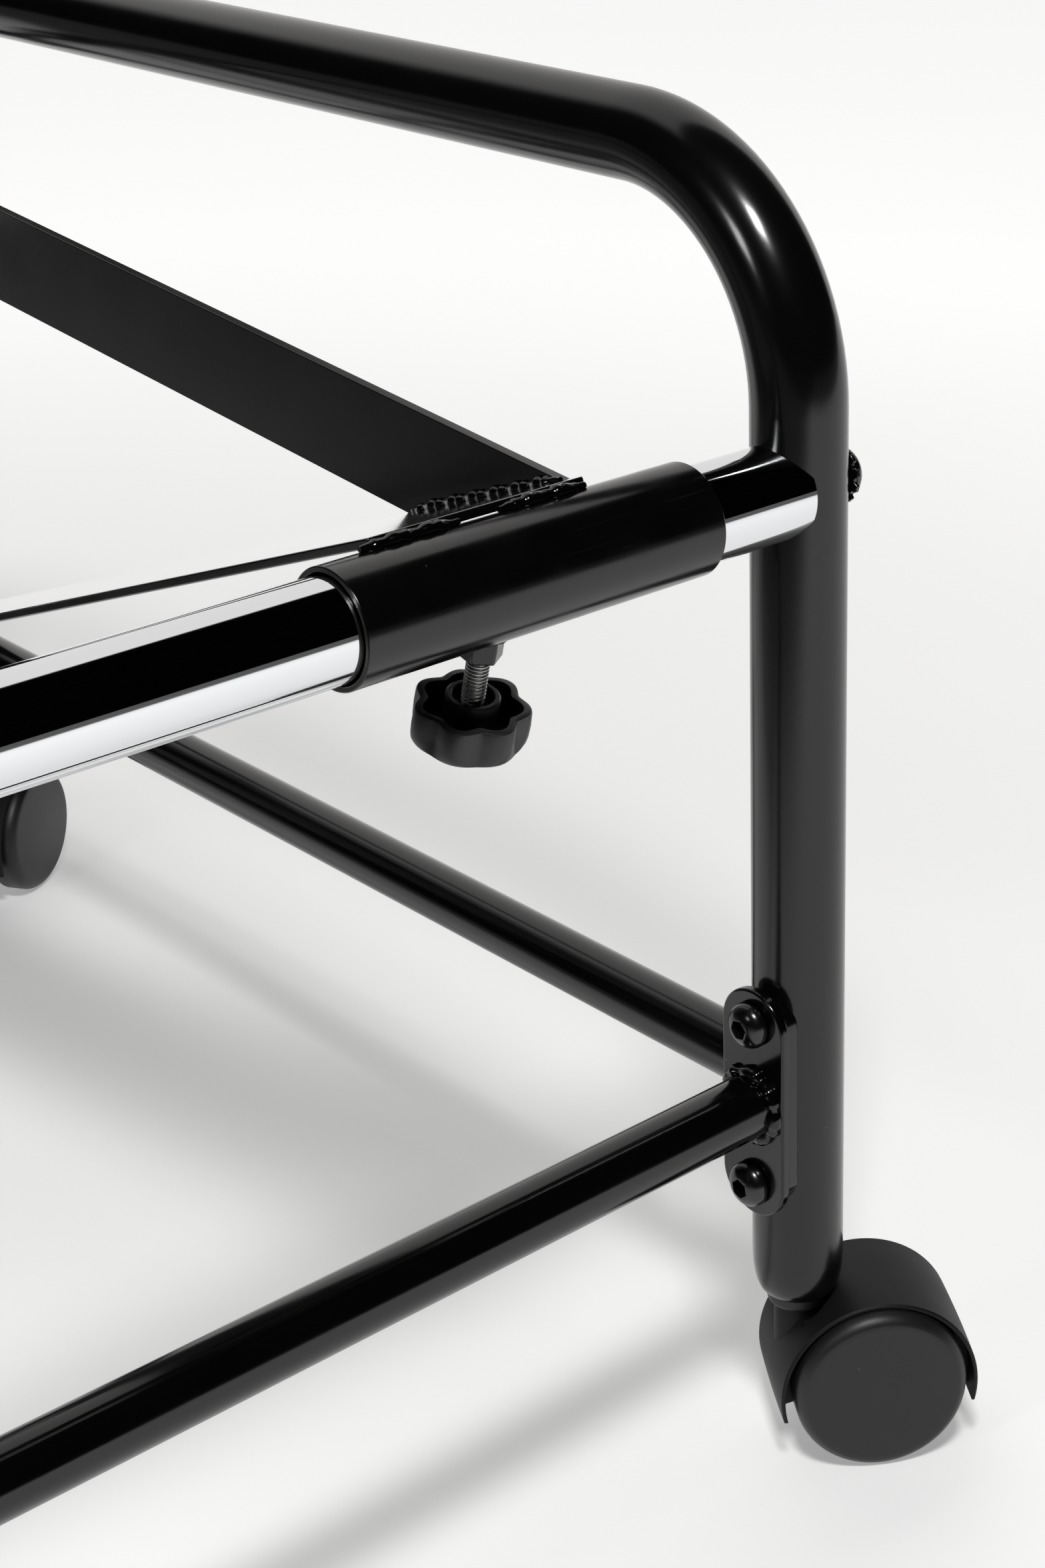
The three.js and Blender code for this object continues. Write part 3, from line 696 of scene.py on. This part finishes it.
def makePlug():
    seat, bottom, edge = plug["seat"], plug["bottom"], plug["edge"]
    profile = [(plug["bore"], bottom), (plug["flange"] - edge, bottom)]
    profile += arc(plug["flange"] - edge, bottom + edge, edge, -80, 0, 5)
    profile += [(plug["flange"], seat), (plug["barrel"], seat), (plug["barrel"], plug["top"]),
                (plug["bore"], plug["top"]), (plug["bore"], bottom)]
    return spinProfile("plug", profile, 48)


wheelPiece, hoodPiece, plugPiece = makeWheel(), makeHood(), makePlug()
for tag, (side, end) in corners.items():
    heading = (0 if side > 0 else 180) + caster["turn"] * end * side
    place = move(side * legX, end * legY, 0) @ turn(heading, "Z")
    made = copyPiece(hoodPiece, tag + "_hood_shell", place)
    finishPiece(made, hoodNylon, tag + "_caster", [tag + "_caster_hood"])
    made = copyPiece(plugPiece, tag + "_plug_body", place)
    finishPiece(made, mouldedNylon, "frame", [tag + "_leg_plug"])
    for name, half in (("a", 0), ("b", 180)):
        seat = place @ move(caster["trail"], 0, caster["height"]) @ turn(half, "Z")
        made = copyPiece(wheelPiece, tag + "_wheel_disc_" + name, seat)
        finishPiece(made, mouldedNylon, tag + "_roller_" + name, [tag + "_wheel_" + name])
for piece in (wheelPiece, hoodPiece, plugPiece):
    bpy.data.objects.remove(piece)
print("casters made")


# ---- carriages: sleeve, tray plate and side guard, about the rail's axis at the middle of the sleeve ----
sleeve = {"outer": 15 * mm, "bore": 13.5 * mm, "half": 55 * mm, "segments": 96}
tray = {"slope": 20.7, "width": 65.5 * mm, "thick": 2.5 * mm, "start": -1 * mm, "inset": 20 * mm,
        "offset": -6.75 * mm, "edge": 0.5 * mm, "gap": 0.3 * mm}
guard = {"slope": 5.3, "height": 30 * mm, "thick": 3 * mm, "rise": 13.6 * mm, "tip": 10 * mm, "post": 30 * mm,
         "bite": 1.3 * mm, "edge": 0.5 * mm}
clamp = {"lean": 15, "offset": -8 * mm, "nutFlats": 10 * mm, "nutNear": 13.7 * mm, "nutFar": 21.5 * mm,
         "studTip": 13.6 * mm, "studEnd": 43 * mm, "pitch": 1 * mm, "crest": 3 * mm, "root": 2.45 * mm,
         "boreClear": 0.25 * mm, "boreReach": 30 * mm, "studEdge": 0.4 * mm}
knob = {"lobes": 7, "tip": 15 * mm, "groove": 12.9 * mm, "wall": 2.2 * mm, "rim": 35.5 * mm, "base": 46 * mm,
        "boss": 6.9 * mm, "bossTop": 33 * mm, "recess": 5.2 * mm, "recessDepth": 2.5 * mm, "turn": 92,
        "clear": 0.3 * mm, "bossEdge": 0.5 * mm, "lap": 1 * mm}
stitch = {"spans": ((-43 * mm, -14 * mm), (-2 * mm, 25 * mm)), "out": 0.8 * mm, "up": 0.6 * mm,
          "radius": 1.9 * mm, "ripple": 9 * mm, "seed": 31}
seam = {"inset": 0.3 * mm, "up": 0.3 * mm, "start": 14 * mm, "spacing": 5.6 * mm, "points": 12,
        "radius": 1.7 * mm, "ripple": 10 * mm, "lump": 0.26, "seed": 41}
nutBead = {"outside": 0.9 * mm, "points": 26, "radius": 1.1 * mm, "ripple": 4 * mm, "lump": 0.2, "seed": 51}
depth = 2 * legY
slope, pitch = math.radians(tray["slope"]), math.radians(guard["slope"])
trayUnder = sleeve["outer"] + tray["gap"]
trayInside = tray["offset"] + tray["width"] / 2 + tray["gap"]


def trayLine(y):
    return trayUnder / math.cos(slope) - y * math.tan(slope)


def trayTop(y):
    return (trayUnder + tray["thick"]) / math.cos(slope) - y * math.tan(slope)


def guardTop(y):
    return guard["rise"] + (y - sleeve["outer"]) * math.tan(pitch)


def guardUnder(y):
    return guardTop(y) - guard["height"] / math.cos(pitch)


def makeSleeve(name):
    half = sleeve["half"]
    wall = sleeve["outer"] - sleeve["bore"]
    tube = growTube(name, (-half, 0, 0), (1, 0, 0), sleeve["outer"], [("go", 2 * half, 0, 0)],
                    sleeve["segments"], wall)
    softenEdges(tube, 0.3 * mm, 50, 2)
    smooth(tube, 45)
    tube.data.materials.append(handledCoat)
    tube.data.materials.append(wornRim)
    for face in tube.data.polygons:
        face.material_index = 1 if abs(face.normal.x) > 0.95 else 0
    return tube


def makeTray():
    length = (depth - tray["inset"] - trayUnder * math.sin(slope)) / math.cos(slope) - tray["start"]
    half = tray["width"] / 2
    outline = [(-half, 0), (half, 0), (half, length), (-half, length)]
    plate = pullOutline("tray", outline, (0, 0, tray["thick"]),
                        turn(-tray["slope"], "X") @ move(tray["offset"], tray["start"], trayUnder))
    softenEdges(plate, tray["edge"], 40, 3)
    smooth(plate, 50)
    return plate


def makeGuard():
    back = depth - sleeve["outer"] + guard["bite"]
    inner = back - guard["post"]
    meet = (trayLine(0) - guardUnder(0)) / (math.tan(pitch) + math.tan(slope))
    tip = guard["tip"]
    outline = [(tip, trayLine(tip)), (meet, guardUnder(meet)), (inner, guardUnder(inner)),
               (inner, trayLine(inner)), (back, trayLine(back)), (back, guardTop(back)), (tip, guardTop(tip))]
    strip = pullOutline("strip", outline, (0, 0, guard["thick"]),
                        move(x=trayInside) @ turn(90, "Z") @ turn(90, "X"))
    softenEdges(strip, guard["edge"], 25, 3)
    smooth(strip, 50)
    return strip


def clampFrame(mirror):
    return move(x=mirror * clamp["offset"]) @ turn(180 + clamp["lean"], "X")


def makeNut():
    corner = clamp["nutFlats"] / math.sqrt(3)
    angles = [math.radians(60 * i + 30) for i in range(6)]
    outline = [(corner * math.cos(angle), corner * math.sin(angle)) for angle in angles]
    nut = pullOutline("nut", outline, (0, 0, clamp["nutFar"] - clamp["nutNear"]), move(z=clamp["nutNear"]))
    radius, reach = clamp["crest"] + clamp["boreClear"], clamp["boreReach"]
    bore = spinProfile("bore", [(0, 0), (radius, 0), (radius, reach), (0, reach)], 32)
    carve(nut, bore)
    softenEdges(nut, 0.5 * mm, 40, 2)
    smooth(nut, 40)
    return nut


def makeStud():
    # rolled ridges at the thread's pitch
    root, crest, step, end = clamp["root"], clamp["crest"], clamp["pitch"], clamp["studEnd"]
    points = [(0, clamp["studTip"]), (root - clamp["studEdge"], clamp["studTip"])]
    z = clamp["studTip"] + clamp["studEdge"]
    while z < end - step:
        points += [(root, z), (crest, z + 0.42 * step), (crest, z + 0.58 * step)]
        z += step
    points += [(root, z), (root, end), (0, end)]
    return spinProfile("stud", points, 40, smoothAngle=25)


def starRing(tip, groove, count):
    ring = []
    for i in range(count):
        angle = 2 * math.pi * i / count
        # broad round lobes with narrower grooves between them
        wave = (0.5 + 0.5 * math.cos(knob["lobes"] * angle)) ** 0.75
        ring.append((groove + (tip - groove) * wave, angle))
    return ring


def makeKnob():
    # a star-shaped cup, open towards the stud, whose grooves run out in an arch before the closed end
    count = knob["lobes"] * 16
    bpy.ops.object.select_all(action="DESELECT")
    bpy.ops.mesh.primitive_circle_add(vertices=count, radius=1, fill_type="NGON")
    piece = bpy.context.active_object
    openEdit(piece)
    rim, base, wall = knob["rim"], knob["base"], knob["wall"]
    tip, groove = knob["tip"], knob["groove"]
    depthOf = base - rim
    arched = tip - 0.35 * (tip - groove)
    # lobe radius, groove radius and height of each ring
    layers = [(tip - 0.9 * mm, groove - 0.9 * mm, 0), (tip - 0.25 * mm, groove - 0.25 * mm, 0.25 * mm),
              (tip, groove, 1 * mm),
              (tip + 0.15 * mm, groove + 0.05 * mm, 0.45 * depthOf), (tip, groove + 0.25 * mm, 0.7 * depthOf),
              (tip - 0.3 * mm, arched - 0.9 * mm, 0.84 * depthOf),
              (tip - 0.9 * mm, arched - 0.8 * mm, 0.93 * depthOf),
              (tip - 2.4 * mm, arched - 2.2 * mm, depthOf), (tip - 6 * mm, arched - 5.6 * mm, depthOf)]
    for _ in layers[1:]:
        bpy.ops.mesh.extrude_region_move(TRANSFORM_OT_translate={"value": (0, 0, 1)})
    bpy.ops.object.mode_set(mode="OBJECT")
    vertices = piece.data.vertices
    for vertex in vertices:
        level = layers[int(round(vertex.co.z))]
        ring = starRing(level[0], level[1], count)
        index = int(round(math.atan2(vertex.co.y, vertex.co.x) / (2 * math.pi) * count)) % count
        radius, angle = ring[index]
        vertex.co = (radius * math.cos(angle), radius * math.sin(angle), rim + level[2])
    openEdit(piece)
    tidyNormals()
    closeEdit(40)
    cup = starCup(count, rim, wall, depthOf)
    carve(piece, cup)
    boss, top, edge, clear, recess = (knob[key] for key in ("boss", "bossTop", "bossEdge", "clear", "recess"))
    seat, bore, end = top + knob["recessDepth"], clamp["crest"] + clear, clamp["studEnd"] + clear
    profile = [(0, end), (bore, end), (bore, seat), (recess, seat), (recess, top + clear),
               (recess + clear, top), (boss - edge, top), (boss, top + edge), (boss, base - knob["lap"]),
               (0, base - knob["lap"])]
    boss = spinProfile("boss", profile, 56)
    made = joinPieces("knob", [piece, boss])
    smooth(made, 38)
    return made


def starCup(count, rim, wall, depthOf):
    outline = [(radius * math.cos(angle), radius * math.sin(angle))
               for radius, angle in starRing(knob["tip"] - wall, knob["groove"] - wall, count)]
    return pullOutline("cup", outline, (0, 0, depthOf - wall + knob["lap"]), move(z=rim - knob["lap"]))


frontSleeve, rearSleeve = makeSleeve("frontSleeve"), makeSleeve("rearSleeve")
trayPiece, guardPiece, nutPiece = makeTray(), makeGuard(), makeNut()
studPiece, knobPiece = makeStud(), makeKnob()
edgeY = tray["start"] * math.cos(slope) + trayUnder * math.sin(slope)
edgeZ = trayUnder * math.cos(slope) - tray["start"] * math.sin(slope)
beads = []
for index, span in enumerate(stitch["spans"]):
    line = [(x, edgeY - stitch["out"], edgeZ + stitch["up"]) for x in span]
    beads.append(weldBead("stitch", line, stitch["radius"], seed=stitch["seed"] + index,
                          ripple=stitch["ripple"]))
# the seam between tray and guard, on the tray's upper side
seamY = [seam["start"] + i * seam["spacing"] for i in range(seam["points"])]
beads.append(weldBead("seam", [(trayInside - seam["inset"], y, trayTop(y) + seam["up"]) for y in seamY],
                      seam["radius"], seed=seam["seed"], ripple=seam["ripple"], lump=seam["lump"]))
nutRing = []
for i in range(nutBead["points"]):
    angle = 2 * math.pi * i / nutBead["points"]
    radius = clamp["nutFlats"] / 2 + nutBead["outside"]
    across = radius * math.sin(angle)
    # the ring lies on the sleeve: points off to its sides sit lower along the screw
    drop = sleeve["outer"] - math.sqrt(sleeve["outer"] ** 2 - across ** 2)
    nutRing.append((radius * math.cos(angle), across, sleeve["outer"] - drop))
nutWeld = weldBead("nutWeld", nutRing, nutBead["radius"], True, nutBead["seed"], nutBead["ripple"],
                   nutBead["lump"])

for side, sign in sides.items():
    mirror = Matrix.Scale(sign, 4, (1, 0, 0))
    place = move(sign * sleeveX, -legY, railHeight) @ mirror
    clampPlace = place @ clampFrame(1)
    body = side + "_carriage"
    made = copyPiece(frontSleeve, side + "_slide_sleeve", place)
    finishPiece(made, handledCoat, body, [side + "_front_sleeve"])
    made = copyPiece(nutPiece, side + "_weld_nut", clampPlace)
    finishPiece(made, glossCoat, body)
    made = copyPiece(nutWeld, side + "_nut_weld", clampPlace)
    finishPiece(made, coatedWeld, body)
    made = copyPiece(rearSleeve, side + "_rear_slide_sleeve", place @ move(y=depth))
    finishPiece(made, handledCoat, body)
    made = copyPiece(trayPiece, side + "_tray_sheet", place)
    finishPiece(made, trayCoat, body, [side + "_tray_plate"])
    made = copyPiece(guardPiece, side + "_guard_strip", place)
    finishPiece(made, powderCoat, body, [side + "_side_guard"])
    for index, bead in enumerate(beads):
        made = copyPiece(bead, side + "_tray_weld_" + "abc"[index], place)
        finishPiece(made, coatedWeld, body)
    made = copyPiece(studPiece, side + "_threaded_stud", clampPlace)
    finishPiece(made, zincPlate, side + "_clamp_screw", [side + "_clamp_stud"])
    made = copyPiece(knobPiece, side + "_star_knob", clampPlace @ turn(knob["turn"], "Z"))
    finishPiece(made, stippledNylon, side + "_knob", [side + "_clamp_knob"])
masters = [frontSleeve, rearSleeve, trayPiece, guardPiece, nutPiece, nutWeld, studPiece, knobPiece]
for piece in masters + beads:
    bpy.data.objects.remove(piece)
print("carriages made")

# ---- hidden solids that keep their own shape ----
for name, node in nodes.items():
    if name.endswith(("caster_stem", "caster_axle", "rail_insert")):
        node.data.materials.clear()
        node.data.materials.append(zincPlate)

# ---- studio: a pale floor, soft boxes and a camera ----
# the left and front limits, and the level the colour drops to beyond them, give the table's painted shade
table = {"colour": "#f4f4f3", "size": 24.0, "glow": (0.3, 0.68), "glowFrom": 0.3, "glowTo": 1.6,
         "left": (-0.45, 0.08), "front": (-2.0, -1.5), "paintedShadeLevel": 0.12}
# each edge of the overhead box: how far it leans with height, and where it begins and ends
room = {"box": 0.88, "dark": 0.0006, "colour": "#fffdfb", "frontLean": -0.3, "frontEdge": (-0.02, 0.03),
        "leftLean": 0.45, "leftEdge": (-0.12, 0.2)}
# place in metres and power in watts
lamps = {"keyBox": ((-0.27, -0.87, 1.52), 16), "leftBox": ((-1.15, -0.22, 0.92), 3)}
lampSize, lampTarget = 0.26, (0.28, -0.22, 0.36)


def addFloor():
    # a lit table: opal sheet with light from below as well as from above
    bpy.ops.object.select_all(action="DESELECT")
    bpy.ops.mesh.primitive_plane_add(size=table["size"])
    floor = bpy.context.active_object
    floor.name = "floor"
    opal = makeFinish("opalTable", table["colour"], 0.8, roughSpread=0.03, patch=0.4)
    tree = opal.node_tree
    shader = tree.nodes["Principled BSDF"]
    # painted shade: the table's colour and its glow are darkened a little to the left of the stand and well
    # in front of it
    place = addNode(tree, "ShaderNodeTexCoord").outputs["Object"]
    spot = addNode(tree, "ShaderNodeSeparateXYZ", None, {0: place}).outputs
    paintedShadeFades = [addEdge(tree, spot[axis], limits, table["paintedShadeLevel"])
             for axis, limits in (("X", table["left"]), ("Y", table["front"]))]
    paintedShadeFade = addNode(tree, "ShaderNodeMath", {"operation": "MULTIPLY"}, {0: paintedShadeFades[0], 1: paintedShadeFades[1]})
    paintedShadeTint = addNode(tree, "ShaderNodeMix", {"data_type": "RGBA"}, {
        0: paintedShadeFade.outputs[0], 6: linear("#000000"), 7: linear(table["colour"])})
    # less light comes from below where the key light already falls
    away = addNode(tree, "ShaderNodeVectorMath", {"operation": "LENGTH"}, {0: place}).outputs["Value"]
    lift = addEdge(tree, away, (table["glowFrom"], table["glowTo"]), *table["glow"])
    # the painted shade darkens the glow as well as the colour
    glow = addNode(tree, "ShaderNodeMath", {"operation": "MULTIPLY"}, {0: paintedShadeFade.outputs[0], 1: lift})
    tree.links.new(paintedShadeTint.outputs[2], shader.inputs["Base Color"])
    shader.inputs["Emission Color"].default_value = linear("#ffffff")
    tree.links.new(glow.outputs[0], shader.inputs["Emission Strength"])
    floor.data.materials.append(opal)


def addEdge(tree, value, limits, low=0.0, high=1.0):
    # a smooth change of level between two limits
    edge = addNode(tree, "ShaderNodeMapRange", {"interpolation_type": "SMOOTHSTEP"}, {
        "Value": value, "From Min": limits[0], "From Max": limits[1], "To Min": low, "To Max": high})
    return edge.outputs["Result"]


def addSoftbox(name, place, power):
    data = bpy.data.lights.new(name, "AREA")
    data.shape = "RECTANGLE"
    data.size = data.size_y = lampSize
    data.energy = power
    lamp = bpy.data.objects.new(name, data)
    aim = (Vector(lampTarget) - Vector(place)).to_track_quat("-Z", "Y").to_matrix().to_4x4()
    lamp.matrix_world = Matrix.Translation(place) @ aim
    bpy.context.scene.collection.objects.link(lamp)


def addWorld():
    # one large overhead box that opens to the back and the right of a dark room
    world = bpy.data.worlds.new("studioRoom")
    world.use_nodes = True
    tree = world.node_tree
    ray = addNode(tree, "ShaderNodeTexCoord").outputs["Generated"]
    parts = addNode(tree, "ShaderNodeSeparateXYZ", None, {0: ray}).outputs
    edges = []
    for axis, name in (("Y", "front"), ("X", "left")):
        leaning = addNode(tree, "ShaderNodeMath", {"operation": "MULTIPLY_ADD"}, {
            0: parts["Z"], 1: room[name + "Lean"], 2: parts[axis]})
        edges.append(addEdge(tree, leaning.outputs[0], room[name + "Edge"]))
    lit = addNode(tree, "ShaderNodeMath", {"operation": "MULTIPLY"}, {0: edges[0], 1: edges[1]})
    level = addNode(tree, "ShaderNodeMapRange", None, {
        "Value": lit.outputs[0], "To Min": room["dark"], "To Max": room["box"]})
    tree.links.new(level.outputs["Result"], tree.nodes["Background"].inputs["Strength"])
    tree.nodes["Background"].inputs["Color"].default_value = linear(room["colour"])
    bpy.context.scene.world = world


camera = {"place": (-0.21862, -0.74426, 0.52962), "yaw": 43.248, "pitch": 19.044, "roll": 0.394,
          "lens": 65.61, "shift": (-0.1331, -0.1699)}


def addCamera():
    yaw, pitchDown, roll = (math.radians(camera[key]) for key in ("yaw", "pitch", "roll"))
    forward = Vector((math.sin(yaw) * math.cos(pitchDown), math.cos(yaw) * math.cos(pitchDown),
                      -math.sin(pitchDown)))
    level = Vector((math.cos(yaw), -math.sin(yaw), 0))
    below = forward.cross(level)
    across = level * math.cos(roll) + below * math.sin(roll)
    down = below * math.cos(roll) - level * math.sin(roll)
    data = bpy.data.cameras.new("camera")
    data.sensor_fit = "VERTICAL"
    data.sensor_height = 36
    data.lens = camera["lens"]
    data.shift_x, data.shift_y = camera["shift"]
    data.clip_start = 0.01
    eye = bpy.data.objects.new("camera", data)
    axes = Matrix((across, -down, -forward)).transposed()
    eye.matrix_world = Matrix.Translation(camera["place"]) @ axes.to_4x4()
    bpy.context.scene.collection.objects.link(eye)
    bpy.context.scene.camera = eye


addFloor()
addWorld()
for name, (place, power) in lamps.items():
    addSoftbox(name, place, power)
addCamera()
bpy.context.scene.view_settings.view_transform = "Standard"
print("studio made")
